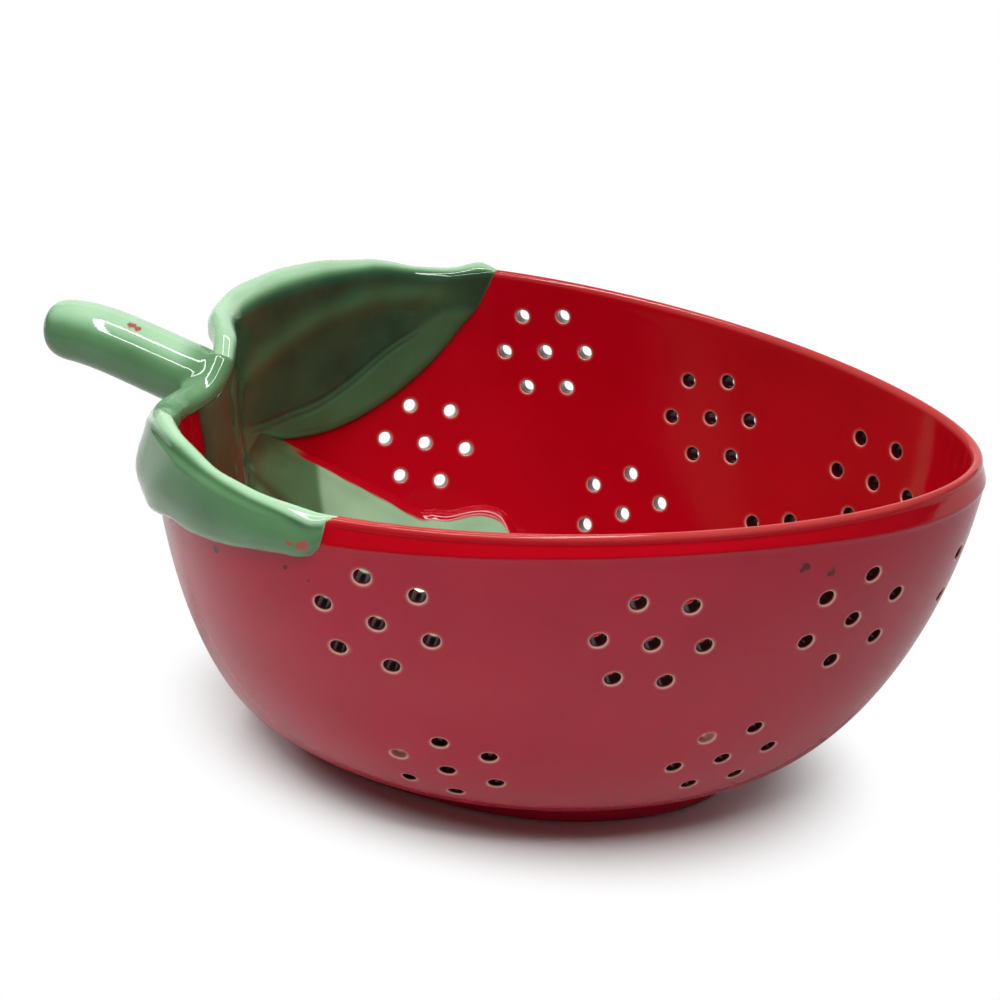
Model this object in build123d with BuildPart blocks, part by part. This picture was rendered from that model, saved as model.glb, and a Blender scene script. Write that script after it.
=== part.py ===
from build123d import *
from math import acos, cos, pi, sin
import os

# Berry colander bowl: a glazed ceramic bowl in the shape of a strawberry lying on its side.
# X runs from the stem to the tip of the fruit, Y across it and Z up. All sizes are in millimetres.

# Rim, seen from above: the centre line of the lip, and the lengths of its curves' tangents.
rim_height = 118.3
rim_tip = 132.0
rim_tip_run = 34.0
rim_widest_x = -17.0
rim_half_width = 86.7
rim_flank_run = 71.0
rim_shoulder_run = 40.0
rim_lobe = 85.0
rim_lobe_half_span = 21.0
rim_lobe_run = 28.0
rim_notch_depth = 6.0
rim_notch_run = 8.0

# Foot, seen from above: the outline in which the wall meets the foot ring.
foot_height = 9.0
foot_width = 6.0
foot_edge_round = 1.2
foot_tip = 81.5
foot_tip_run = 17.0
foot_widest_x = 15.0
foot_half_width = 39.0
foot_flank_run = 35.0
foot_shoulder_run = 30.0
foot_heel = 58.0
foot_heel_half_span = 9.0
foot_heel_run = 20.0

# Wall: its thickness, the fullness of its belly and how the lip is rounded.
wall = 5.0
floor_thickness = 5.0
belly_fullness = 1.84
lip_flat = 0.6

# Drain holes: six round one, in clusters. Each cluster is placed by its station along the rim
# (0 at the tip, 1 at the widest place, 2 at the shoulder; below 0 on the front), height and turn.
hole_bore = 4.2
hole_pitch = 13.7
holes_round_one = 6
clusters = [
    (0.00, 87.5, 30),
    (-0.37, 87.0, 19),
    (-0.65, 88.0, 52),
    (-0.96, 91.5, 45),
    (-0.50, 41.0, 4),
    (-0.92, 39.0, 38),
    (0.32, 88.0, 52),
    (0.64, 86.0, 45),
    (0.92, 93.5, 50),
    (0.46, 51.0, 35),
    (0.77, 46.5, 29),
    (1.24, 58.5, 8),
]

# Leaves and the stem's collar: how far they stand out from the wall and how they lap the rim.
leaf_thickness = 3.5
leaf_rise = 2.6
leaf_edge_round = 5.0
rim_lap = 8.0
collar_front_reach = 45.0
collar_back_reach = 11.0

# Back leaf on the inner wall, seen square to its shoulder: across from the middle of the shoulder,
# and down from the rim.
back_leaf_tip = 50.0
back_leaf_belly = 19.0
back_leaf_belly_drop = 40.0
back_leaf_low = -13.0
back_leaf_low_drop = 51.0
back_leaf_root = -32.0
back_leaf_root_drop = 45.0
back_leaf_neck = -56.0

# Front leaf on the outer wall, seen square to its own shoulder.
front_leaf_tip = 51.0
front_leaf_tip_drop = 9.5
front_leaf_low = -18.0
front_leaf_low_drop = 21.0
front_leaf_root_drop = 15.0

# Centre leaf: its outline on the floor from above, and its half widths up the wall at the stem.
centre_leaf_tip = 44.0
centre_leaf_cheek_x = 24.0
centre_leaf_cheek_half_width = 33.0
centre_leaf_widest_x = -14.0
centre_leaf_half_width = 64.0
centre_leaf_waist_x = -34.0
centre_leaf_waist_half_width = 58.0
centre_leaf_root_half_width = 32.0
centre_leaf_root_height = 72.0
centre_leaf_neck_half_width = 12.0
centre_leaf_neck_height = 94.0

# Stem: a blunt tapered bar that rises from the notch in the rim.
stem_reach = 133.8
stem_end_height = 117.7
stem_root_drop = 14.7
stem_root_radius = 11.0
stem_end_radius = 8.2
stem_end_round = 6.5
stem_root_sink = 0.5

# Working values that follow from the sizes above.
half_wall = wall / 2
lip_round = (wall - lip_flat) / 2
lip_base = rim_height - lip_round
handle_share = 0.4
wall_levels = 8
edge_levels = 3
slope_step = 0.001
clear_of_rim = 12.0
rim_notch_x = rim_notch_depth - rim_lobe
far_out = 2 * (rim_tip + rim_half_width)


def half_outline(tip, tip_run, widest, flank_run, shoulder_run, lobe, lobe_run, notch, notch_run):
    """Ten curve points from the tip round one side to the notch at the stem."""
    return [
        Vector(tip, 0),
        Vector(tip, tip_run),
        Vector(widest[0] + flank_run, widest[1]),
        Vector(widest[0], widest[1]),
        Vector(widest[0] - shoulder_run, widest[1]),
        Vector(lobe[0], lobe[1] + lobe_run),
        Vector(lobe[0], lobe[1]),
        Vector(lobe[0], lobe[1] - notch_run),
        Vector(notch, notch_run),
        Vector(notch, 0),
    ]


def rim_outline(grow):
    """The rim's centre line moved outwards by grow."""
    return half_outline(
        tip=rim_tip + grow,
        tip_run=rim_tip_run + handle_share * grow,
        widest=(rim_widest_x, rim_half_width + grow),
        flank_run=rim_flank_run + handle_share * grow,
        shoulder_run=rim_shoulder_run + handle_share * grow,
        lobe=(-rim_lobe - grow, rim_lobe_half_span),
        lobe_run=rim_lobe_run + handle_share * grow,
        notch=rim_notch_x - grow,
        notch_run=rim_notch_run,
    )


def foot_outline(grow):
    """The line where the wall meets the foot, moved outwards by grow."""
    return half_outline(
        tip=foot_tip + grow,
        tip_run=foot_tip_run + handle_share * grow,
        widest=(foot_widest_x, foot_half_width + grow),
        flank_run=foot_flank_run + handle_share * grow,
        shoulder_run=foot_shoulder_run + handle_share * grow,
        lobe=(-foot_heel - grow, foot_heel_half_span),
        lobe_run=foot_heel_run + handle_share * grow,
        notch=-foot_heel - grow,
        notch_run=foot_heel_half_span / 3,
    )


def wall_outline(grow, angle):
    """The wall's outline at one step up its belly, from 0 at the foot to pi / 2 at the rim."""
    spread = sin(angle) ** (2 / belly_fullness)
    return [low + (high - low) * spread for low, high in zip(foot_outline(0), rim_outline(grow))]


def wall_height(base, crown, angle):
    """The height of that step, on a wall that rises from base to crown."""
    rise = 1 - cos(angle) ** (2 / belly_fullness)
    return base + (crown - base) * rise


def draw_outline(points):
    """Both halves of an outline, inside a line context."""
    for first in (0, 3, 6):
        Bezier(*points[first : first + 4])
    mirror(about=Plane.XZ)


def basin(grow, base, top, edge_round):
    """A solid with the bowl's form, grown by grow at the rim, with its edge rounded at the top.

    A form that is grown outwards rounds inwards, and one that is shrunk opens out like a mouth.
    """
    crown = top - edge_round
    closing = -edge_round if grow > 0 else edge_round
    wall_steps = [pi / 2 * level / wall_levels for level in range(wall_levels + 1)]
    edge_steps = [pi / 2 * level / edge_levels for level in range(edge_levels + 1)]
    with BuildPart() as body:
        for angle in wall_steps:
            with BuildSketch(Plane.XY.offset(wall_height(base, crown, angle))):
                with BuildLine():
                    draw_outline(wall_outline(grow, angle))
                make_face()
        loft()
        for angle in edge_steps:
            with BuildSketch(Plane.XY.offset(crown + edge_round * sin(angle))):
                with BuildLine():
                    draw_outline(rim_outline(grow + closing * (1 - cos(angle))))
                make_face()
        loft()
    return body.part


def wall_point(station, angle):
    """A point of the outer wall at a station along the rim and a step up the belly."""
    points = wall_outline(half_wall, angle)
    side = -1 if station < 0 else 1
    segment = min(int(abs(station)), 2)
    along = abs(station) - segment
    a, b, c, d = points[3 * segment : 3 * segment + 4]
    back = 1 - along
    spot = a * back**3 + b * (3 * back**2 * along) + c * (3 * back * along**2) + d * along**3
    return Vector(spot.X, side * spot.Y, wall_height(foot_height, lip_base, angle))


def wall_angle(height):
    """The step up the belly at which the outer wall is at this height."""
    rise = (height - foot_height) / (lip_base - foot_height)
    return acos((1 - rise) ** (belly_fullness / 2))


def wall_plane(station, height, turn):
    """A plane on the outer wall, z straight out of it, turned by turn from level along the wall."""
    angle = wall_angle(height)
    along = wall_point(station + slope_step, angle) - wall_point(station - slope_step, angle)
    up = wall_point(station, angle + slope_step) - wall_point(station, angle - slope_step)
    level = Plane(wall_point(station, angle), x_dir=along, z_dir=along.cross(up))
    return level.rotated((0, 0, turn))


def between(outer, inner):
    """The wall that one form leaves round another."""
    with BuildPart() as shell:
        add(outer)
        add(inner, mode=Mode.SUBTRACT)
    return shell.part


os.makedirs("parts", exist_ok=True)

floor_height = foot_height + floor_thickness
leaf_top = rim_height + leaf_rise
outer_form = basin(half_wall, foot_height, rim_height, lip_round)
inner_form = basin(-half_wall, floor_height, rim_height, lip_round)
outer_coat = basin(half_wall + leaf_thickness, foot_height - leaf_thickness, leaf_top, leaf_edge_round)
inner_coat = basin(-half_wall - leaf_thickness, floor_height + leaf_thickness, leaf_top, leaf_edge_round)
plain_shell = between(outer_form, inner_form)
leaf_coat = between(outer_coat, inner_coat)
lap_plane = Plane.XY.offset(rim_height - rim_lap)

# The coat's outer layer and the bowl's hollow, both up to the leaves' lap over the rim.
with BuildPart() as outer_skirt:
    add(outer_coat)
    add(outer_form, mode=Mode.SUBTRACT)
    split(bisect_by=lap_plane, keep=Keep.BOTTOM)
with BuildPart() as hollow:
    add(inner_form)
    split(bisect_by=lap_plane, keep=Keep.BOTTOM)

# Bowl: the wall with its rounded lip and drain holes.
with BuildPart() as bowl_shell:
    add(plain_shell)
    with BuildSketch(*[wall_plane(*cluster) for cluster in clusters]):
        Circle(hole_bore / 2)
        with PolarLocations(hole_pitch, holes_round_one):
            Circle(hole_bore / 2)
    extrude(amount=3 * wall, both=True, mode=Mode.SUBTRACT)
bowl_shell.part.label = "bowl_shell"
export_step(bowl_shell.part, "parts/bowl_shell.step")

# Foot ring: the bowl stands on it, and its hollow middle keeps the floor off the table.
with BuildPart() as foot_ring:
    with BuildSketch():
        with BuildLine():
            draw_outline(foot_outline(0))
        make_face()
        with BuildLine():
            draw_outline(foot_outline(-foot_width))
        make_face(mode=Mode.SUBTRACT)
    extrude(amount=foot_height)
    fillet(foot_ring.edges().group_by(Axis.Z)[0], foot_edge_round)
foot_ring.part.label = "foot_ring"
export_step(foot_ring.part, "parts/foot_ring.step")

# Back leaf: lies on the inner wall at the far shoulder and laps over the rim.
with BuildPart() as back_leaf:
    with BuildSketch(Plane(origin=(0, 0, rim_height), x_dir=(1, 1, 0), z_dir=(1, -1, 0))):
        with BuildLine():
            lower_edge = Spline(
                (back_leaf_tip, 0),
                (back_leaf_belly, -back_leaf_belly_drop),
                (back_leaf_low, -back_leaf_low_drop),
                (back_leaf_root, -back_leaf_root_drop),
            )
            Polyline(
                lower_edge @ 1,
                (back_leaf_neck, 0),
                (back_leaf_neck, clear_of_rim),
                (back_leaf_tip, clear_of_rim),
                lower_edge @ 0,
            )
        make_face()
    extrude(amount=-far_out)
    add(leaf_coat, mode=Mode.INTERSECT)
    split(bisect_by=Plane.XZ.offset(-collar_back_reach), keep=Keep.BOTTOM)
    add(outer_skirt.part, mode=Mode.SUBTRACT)
    add(plain_shell, mode=Mode.SUBTRACT)
back_leaf.part.label = "back_leaf"
export_step(back_leaf.part, "parts/back_leaf.step")

# Front leaf: folded over the rim at the near shoulder, with its flap on the outer wall.
with BuildPart() as front_leaf:
    with BuildSketch(Plane(origin=(0, 0, rim_height), x_dir=(1, -1, 0), z_dir=(-1, -1, 0))):
        with BuildLine():
            hem = Spline(
                (front_leaf_tip, 0),
                (front_leaf_tip - front_leaf_tip_drop / 2, -front_leaf_tip_drop),
                (front_leaf_low, -front_leaf_low_drop),
                (back_leaf_neck, -front_leaf_root_drop),
            )
            Polyline(
                hem @ 1,
                (back_leaf_neck, clear_of_rim),
                (front_leaf_tip, clear_of_rim),
                hem @ 0,
            )
        make_face()
    extrude(amount=far_out)
    add(leaf_coat, mode=Mode.INTERSECT)
    split(bisect_by=Plane.XZ.offset(collar_front_reach), keep=Keep.TOP)
    add(hollow.part, mode=Mode.SUBTRACT)
    add(plain_shell, mode=Mode.SUBTRACT)
front_leaf.part.label = "front_leaf"
export_step(front_leaf.part, "parts/front_leaf.step")

# Centre leaf: runs from under the stem down the inner wall and spreads over the floor.
with BuildPart() as centre_leaf:
    with BuildSketch():
        with BuildLine():
            margin = Spline(
                (-rim_lobe, centre_leaf_root_half_width),
                (centre_leaf_waist_x, centre_leaf_waist_half_width),
                (centre_leaf_widest_x, centre_leaf_half_width),
                (centre_leaf_cheek_x, centre_leaf_cheek_half_width),
                (centre_leaf_tip, 0),
            )
            Line(margin @ 0, (-rim_lobe, 0))
            mirror(about=Plane.XZ)
        make_face()
    extrude(amount=rim_height)
    with BuildSketch(Plane.YZ):
        with BuildLine():
            side = Spline(
                (centre_leaf_neck_half_width, rim_height),
                (centre_leaf_neck_half_width, centre_leaf_neck_height),
                (centre_leaf_root_half_width, centre_leaf_root_height),
                (rim_half_width, foot_height),
            )
            Polyline((0, rim_height), side @ 0)
            Polyline(side @ 1, (0, foot_height))
            mirror(about=Plane.YZ)
        make_face()
    extrude(amount=far_out, both=True, mode=Mode.INTERSECT)
    add(hollow.part, mode=Mode.INTERSECT)
    add(inner_coat, mode=Mode.SUBTRACT)
    add(back_leaf.part, mode=Mode.SUBTRACT)
centre_leaf.part.label = "centre_leaf"
export_step(centre_leaf.part, "parts/centre_leaf.step")

# Stem: a tapered bar seated on the rim, with its collar along the rim between the leaves.
stem_root = Vector(rim_notch_x, 0, rim_height - stem_root_drop)
stem_run = Vector(-stem_reach, 0, stem_end_height) - stem_root
with BuildPart() as stem_handle:
    add(leaf_coat)
    split(bisect_by=lap_plane, keep=Keep.TOP)
    split(bisect_by=Plane.XZ.offset(collar_front_reach), keep=Keep.BOTTOM)
    split(bisect_by=Plane.XZ.offset(-collar_back_reach), keep=Keep.TOP)
    split(bisect_by=Plane.YZ, keep=Keep.BOTTOM)
    with BuildSketch(Plane(origin=stem_root, x_dir=stem_run, z_dir=(0, 1, 0))) as bar:
        with BuildLine():
            Polyline(
                (-stem_root_sink, 0),
                (-stem_root_sink, stem_root_radius),
                (stem_run.length, stem_end_radius),
                (stem_run.length, 0),
                close=True,
            )
        make_face()
        fillet(bar.vertices().group_by(Axis.X)[-1].sort_by(Axis.Y)[-1], stem_end_round)
    revolve(axis=Axis(stem_root, stem_run))
    add(plain_shell, mode=Mode.SUBTRACT)
    add(hollow.part, mode=Mode.SUBTRACT)
    add(back_leaf.part, mode=Mode.SUBTRACT)
stem_handle.part.label = "stem_handle"
export_step(stem_handle.part, "parts/stem_handle.step")
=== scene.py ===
import math

import bmesh
import bpy
import numpy as np
from mathutils import Matrix, Vector


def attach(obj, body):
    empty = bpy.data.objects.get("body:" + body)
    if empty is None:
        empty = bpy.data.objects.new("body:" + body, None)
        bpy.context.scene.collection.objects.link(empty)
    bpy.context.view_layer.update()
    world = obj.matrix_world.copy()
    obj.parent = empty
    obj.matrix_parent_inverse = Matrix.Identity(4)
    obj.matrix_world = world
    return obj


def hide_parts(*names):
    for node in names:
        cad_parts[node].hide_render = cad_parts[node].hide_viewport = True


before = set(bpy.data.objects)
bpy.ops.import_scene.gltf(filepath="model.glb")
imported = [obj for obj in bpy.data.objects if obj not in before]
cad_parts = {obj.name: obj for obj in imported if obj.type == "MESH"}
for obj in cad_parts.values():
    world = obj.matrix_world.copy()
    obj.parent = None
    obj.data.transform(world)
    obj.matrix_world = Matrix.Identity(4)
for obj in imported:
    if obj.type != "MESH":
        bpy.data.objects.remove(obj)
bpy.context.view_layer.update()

# Berry colander bowl in glazed earthenware: red wall with drain holes, green stem and leaves.
# Sizes are in millimetres in the part's frame until a mesh, lamp or camera is made.
MM = 0.001

# Rim, seen from above: the centre line of the lip and the lengths of its curves' tangents.
RIM_HEIGHT = 118.3
RIM_TIP = 132.0
RIM_TIP_RUN = 34.0
RIM_WIDEST_X = -17.0
RIM_HALF_WIDTH = 86.7
RIM_FLANK_RUN = 71.0
RIM_SHOULDER_RUN = 40.0
RIM_LOBE = 85.0
RIM_LOBE_HALF_SPAN = 21.0
RIM_LOBE_RUN = 28.0
RIM_NOTCH_DEPTH = 6.0
RIM_NOTCH_RUN = 8.0

# Foot, seen from above: the line in which the wall meets the foot ring.
FOOT_HEIGHT = 9.0
FOOT_TIP = 81.5
FOOT_TIP_RUN = 17.0
FOOT_WIDEST_X = 15.0
FOOT_HALF_WIDTH = 39.0
FOOT_FLANK_RUN = 35.0
FOOT_SHOULDER_RUN = 30.0
FOOT_HEEL = 58.0
FOOT_HEEL_HALF_SPAN = 9.0
FOOT_HEEL_RUN = 20.0

# Wall and lip.
HALF_WALL = 2.5
FLOOR_HEIGHT = 14.0
BELLY_FULLNESS = 1.84
LIP_ROUND = 2.2
LIP_BASE = RIM_HEIGHT - LIP_ROUND
HANDLE_SHARE = 0.4

# The lip slopes in along a band outside, which stands a little proud of the wall and ends at the leaves.
# Its depth goes with the length along the rim from the tip.
BAND_DEPTH = [(0, 4.6), (35, 4.4), (70, 2.7), (145, 2.7), (178, 3.8), (190, 4.3), (310, 4.6)]
BAND_SLOPE = 1.9
BAND_STEP = 1.2
BAND_PROUD = 0.25
BAND_FADE = 18.0
BAND_END = 190.0
BAND_END_RUN = 6.0

# Hands left the wall uneven: a depth, waves round the bowl and up the wall, and where these start.
UNEVEN = 0.2
UNEVEN_WAVES = 5
UNEVEN_RISE = 31.0
UNEVEN_TURN = 0.6
UNEVEN_START = 1.1

# The rim dips in front of the stem: places across the bowl, and depths.
RIM_DIP = [
    (-53, 0.0), (-45, 2.5), (-37, 7.5), (-27, 11.0), (-16, 12.0), (-7, 10.3), (0, 5.0), (5, 0.6), (11, 0.0),
]

# It sags a little behind, next to the tip of the leaf: lengths along the rim, and depths.
RIM_SAG = [(187, 0.0), (192, 0.8), (198, 2.0), (204, 2.4), (211, 2.0), (219, 0.8), (226, 0.0)]

# Drain holes: six round one. A cluster has a station along the rim, a height, a turn in degrees and a slant,
# the millimetres by which its bores drift along the wall on their way out.
HOLE_PITCH = 13.7
HOLES_ROUND_ONE = 6
CLUSTERS = [
    (0.00, 87.5, 30, 0.0),
    (-0.37, 87.0, 19, 0.0),
    (-0.65, 88.0, 52, 0.0),
    (-0.96, 91.5, 45, 0.0),
    (-0.50, 41.0, 4, 0.0),
    (-0.92, 39.0, 38, 0.0),
    (0.32, 88.0, 52, -1.3),
    (0.64, 86.0, 45, -2.0),
    (0.92, 93.5, 50, 0.0),
    (0.46, 51.0, 35, -2.0),
    (0.77, 46.5, 29, 0.0),
    (1.24, 58.5, 8, 0.0),
]


def half_outline(tip, tip_run, widest, flank_run, shoulder_run, lobe, lobe_run, notch, notch_run):
    """Ten curve points from the tip round one side to the notch at the stem."""
    return np.array(
        [
            (tip, 0),
            (tip, tip_run),
            (widest[0] + flank_run, widest[1]),
            widest,
            (widest[0] - shoulder_run, widest[1]),
            (lobe[0], lobe[1] + lobe_run),
            lobe,
            (lobe[0], lobe[1] - notch_run),
            (notch, notch_run),
            (notch, 0),
        ],
        float,
    )


def rim_outline(grow):
    """The rim's centre line moved outwards by grow."""
    return half_outline(
        tip=RIM_TIP + grow,
        tip_run=RIM_TIP_RUN + HANDLE_SHARE * grow,
        widest=(RIM_WIDEST_X, RIM_HALF_WIDTH + grow),
        flank_run=RIM_FLANK_RUN + HANDLE_SHARE * grow,
        shoulder_run=RIM_SHOULDER_RUN + HANDLE_SHARE * grow,
        lobe=(-RIM_LOBE - grow, RIM_LOBE_HALF_SPAN),
        lobe_run=RIM_LOBE_RUN + HANDLE_SHARE * grow,
        notch=RIM_NOTCH_DEPTH - RIM_LOBE - grow,
        notch_run=RIM_NOTCH_RUN,
    )


def foot_outline(grow):
    """The line where the wall meets the foot, moved outwards by grow."""
    return half_outline(
        tip=FOOT_TIP + grow,
        tip_run=FOOT_TIP_RUN + HANDLE_SHARE * grow,
        widest=(FOOT_WIDEST_X, FOOT_HALF_WIDTH + grow),
        flank_run=FOOT_FLANK_RUN + HANDLE_SHARE * grow,
        shoulder_run=FOOT_SHOULDER_RUN + HANDLE_SHARE * grow,
        lobe=(-FOOT_HEEL - grow, FOOT_HEEL_HALF_SPAN),
        lobe_run=FOOT_HEEL_RUN + HANDLE_SHARE * grow,
        notch=-FOOT_HEEL - grow,
        notch_run=FOOT_HEEL_HALF_SPAN / 3,
    )


RIM_LINE = rim_outline(0)
RIM_OUT = rim_outline(1) - RIM_LINE
FOOT_LINE = foot_outline(0)
FOOT_OUT = foot_outline(1) - FOOT_LINE
FLOOR_MIDDLE = np.array([(FOOT_TIP - FOOT_HEEL) / 2, 0.0])


def along_outline(points, station):
    """Places on an outline: station 0 at the tip, 1 widest, 2 shoulder, 3 notch; below 0 in front."""
    station = np.asarray(station, float)
    piece = np.minimum(np.abs(station).astype(int), 2)
    f = (np.abs(station) - piece)[..., None]
    b = 1 - f
    k = 3 * piece
    flat = b**3 * points[k] + 3 * b * b * f * points[k + 1]
    flat = flat + 3 * b * f * f * points[k + 2] + f**3 * points[k + 3]
    flat[..., 1] *= np.where(station < 0, -1, 1)
    return flat


def through(knots, x):
    """A smooth curve through knots, read at x and level beyond its ends."""
    kx, ky = np.array(knots, float).T
    slope = np.gradient(ky, kx)
    x = np.clip(x, kx[0], kx[-1])
    i = np.clip(np.searchsorted(kx, x) - 1, 0, len(kx) - 2)
    step = kx[i + 1] - kx[i]
    f = (x - kx[i]) / step
    rise = (3 - 2 * f) * f * f
    start = f * (1 - f) ** 2 * slope[i] * step
    end = f * f * (f - 1) * slope[i + 1] * step
    return ky[i] * (1 - rise) + ky[i + 1] * rise + start + end


# Lengths along the rim, 0 at the tip, positive at the back and negative in front.
RIM_STATIONS = np.linspace(-3, 3, 6001)
rim_steps = np.diff(along_outline(RIM_LINE, RIM_STATIONS), axis=0)
RIM_LENGTHS = np.concatenate([[0], np.cumsum(np.hypot(rim_steps[:, 0], rim_steps[:, 1]))])
HALF_RIM = RIM_LENGTHS[-1] / 2
RIM_LENGTHS -= HALF_RIM


def station_at(length):
    return np.interp(length, RIM_LENGTHS, RIM_STATIONS)


def length_at(station):
    return np.interp(station, RIM_STATIONS, RIM_LENGTHS)


def rim_dip(station):
    """How far the rim is lowered at a station."""
    station = np.clip(station, -3, 3)
    across = along_outline(RIM_LINE, station)[..., 1]
    return np.where(np.abs(station) > 1, through(RIM_DIP, across), 0.0) + through(RIM_SAG, length_at(station))


def ease(x):
    """A soft step from 0 to 1."""
    x = np.clip(x, 0, 1)
    return x * x * (3 - 2 * x)


def fades_in(x, start, run):
    """A soft step that begins at a start and takes a run."""
    return ease((x - start) / run)


def fades_out(x, end, run):
    """A soft step down that is over at an end and takes a run."""
    return ease((end - x) / run)


def below_lip(path):
    """How far a path is below the lip on the outer wall, in millimetres; below 0 elsewhere."""
    left = np.clip(np.sin(np.clip(np.asarray(path, float) - 3, 0, 1) * np.pi / 2), 0, 1)
    return np.where(path < 3, -1.0, (LIP_BASE - FOOT_HEIGHT) * left ** (2 / BELLY_FULLNESS))


def skin(station, path):
    """A point of the bowl's skin at a station along the rim.

    The path runs from 0 in the middle of the floor by 1 at the foot of the inner wall, 2 and 3 on
    either side of the lip and 4 at the foot of the outer wall to 5 in the middle underneath.
    """
    station, path = np.broadcast_arrays(np.asarray(station, float), np.asarray(path, float))
    leg = np.clip(np.floor(path), 0, 4)
    part = path - leg
    climb = np.select([leg == 1, leg == 2, leg == 3], [part, np.ones_like(part), 1 - part], 0.0)
    angle = climb * np.pi / 2
    spread = np.sin(angle) ** (2 / BELLY_FULLNESS)
    rise = 1 - np.clip(np.cos(angle), 0, 1) ** (2 / BELLY_FULLNESS)
    over = np.pi * part
    length = length_at(np.clip(station, -3, 3))
    slope = BAND_SLOPE * fades_in(length, -BAND_END, BAND_END_RUN) * fades_out(length, BAND_END, BAND_END_RUN)
    lip = -slope / 2 - (HALF_WALL - slope / 2) * np.cos(over)
    grow = np.select([leg < 2, leg == 2], [-HALF_WALL * np.ones_like(part), lip], HALF_WALL)
    base = np.where(leg < 2, FLOOR_HEIGHT, FOOT_HEIGHT)
    height = base + (LIP_BASE - base) * rise + np.where(leg == 2, LIP_ROUND * np.sin(over), 0)
    down = below_lip(path)
    depth = through(BAND_DEPTH, np.abs(length))
    below = np.clip(down - depth, 0, None)
    grow = grow - slope * np.where(leg == 3, np.clip(1 - down / depth, 0, 1), 0)
    grow = grow - BAND_PROUD * slope / BAND_SLOPE * ease(below / BAND_STEP) * np.exp(-below / BAND_FADE)
    around = np.pi * length / HALF_RIM
    waves = np.sin(UNEVEN_WAVES * around + UNEVEN_TURN) * np.sin(height / UNEVEN_RISE + UNEVEN_START)
    grow = grow + UNEVEN * (waves - 1) * spread
    height = height - rim_dip(station) * rise**3
    shrink = np.select([leg == 0, leg == 4], [part, 1 - part], 1.0)[..., None]
    foot = along_outline(FOOT_LINE, station)
    rim = along_outline(RIM_LINE, station) + grow[..., None] * along_outline(RIM_OUT, station)
    flat = foot + (rim - foot) * spread[..., None]
    flat = FLOOR_MIDDLE + (flat - FLOOR_MIDDLE) * shrink
    return np.concatenate([flat, height[..., None]], -1)


def skin_slopes(station, path, step=1e-3):
    """How the skin moves with the station and with the path."""
    by_station = (skin(station + step, path) - skin(station - step, path)) / (2 * step)
    by_path = (skin(station, path + step) - skin(station, path - step)) / (2 * step)
    return by_station, by_path


def skin_normal(station, path):
    """The direction straight out of the clay."""
    by_station, by_path = skin_slopes(station, path)
    normal = np.cross(by_path, by_station)
    return normal / np.linalg.norm(normal, axis=-1, keepdims=True)


# Drop from the crest of the lip, in millimetres: above 0 down the inside, below 0 down the outside.
# The lip's arc is over at this drop on either side, and its crest has this path.
LIP_ARC = 3.7
CREST = 2.5


def path_at(drop):
    """The path on the skin at a drop."""
    drop = np.asarray(drop, float)
    down = np.clip(np.abs(drop) - LIP_ARC, 0, None)
    base = np.where(drop > 0, FLOOR_HEIGHT, FOOT_HEIGHT)
    left = np.clip(down / (LIP_BASE - base), 0, 1)
    climb = np.arccos(left ** (BELLY_FULLNESS / 2)) / (np.pi / 2)
    on_wall = np.where(drop > 0, 1 + climb, 4 - climb)
    on_lip = CREST - 0.5 * drop / LIP_ARC
    return np.where(np.abs(drop) < LIP_ARC, on_lip, on_wall)


def outer_path_at(height):
    """The path on the outer wall at a height."""
    left = (LIP_BASE - height) / (LIP_BASE - FOOT_HEIGHT)
    return 4 - np.arccos(left ** (BELLY_FULLNESS / 2)) / (np.pi / 2)


def grid_faces(rows, cols, wrap=False):
    """Quads over a grid of points, as rows of four indices."""
    idx = np.arange(rows * cols).reshape(rows, cols)
    if wrap:
        idx = np.concatenate([idx, idx[:, :1]], 1)
    quads = np.stack([idx[:-1, :-1], idx[:-1, 1:], idx[1:, 1:], idx[1:, :-1]], -1)
    return quads.reshape(-1, 4)


def closed_sheet(top, under):
    """A closed skin between two grids of points that face each other."""
    rows, cols = top.shape[:2]
    count = rows * cols
    idx = np.arange(count).reshape(rows, cols)
    loop = np.concatenate([idx[0, :-1], idx[:-1, -1], idx[-1, :0:-1], idx[:0:-1, 0]])
    after = np.roll(loop, -1)
    quads = grid_faces(rows, cols)
    sides = np.stack([after, loop, loop + count, after + count], 1)
    points = np.concatenate([top.reshape(-1, 3), under.reshape(-1, 3)])
    return points, np.concatenate([quads, quads[:, ::-1] + count, sides])


def tube(centres, widths, heights, sides=40):
    """A closed tube along centres with oval sections, each end closed by one flat face."""
    centres = np.asarray(centres, float)
    tangent = np.gradient(centres, axis=0)
    tangent /= np.linalg.norm(tangent, axis=1, keepdims=True)
    across = np.cross(tangent, (0, 0, 1.0))
    across /= np.linalg.norm(across, axis=1, keepdims=True)
    upward = np.cross(across, tangent)
    turn = np.linspace(0, 2 * np.pi, sides, endpoint=False)
    ring = across[:, None] * np.cos(turn)[None, :, None] * np.asarray(widths)[:, None, None]
    ring = ring + upward[:, None] * np.sin(turn)[None, :, None] * np.asarray(heights)[:, None, None]
    points = centres[:, None] + ring
    rows = len(centres)
    quads = grid_faces(rows, sides, wrap=True).tolist()
    first = list(range(sides))[::-1]
    last = list(range((rows - 1) * sides, rows * sides))
    return points.reshape(-1, 3), quads + [first, last]


def face_outwards(mesh):
    """Turns every face of a closed mesh outwards."""
    body = bmesh.new()
    body.from_mesh(mesh)
    bmesh.ops.recalc_face_normals(body, faces=body.faces)
    body.to_mesh(mesh)
    body.free()


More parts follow.
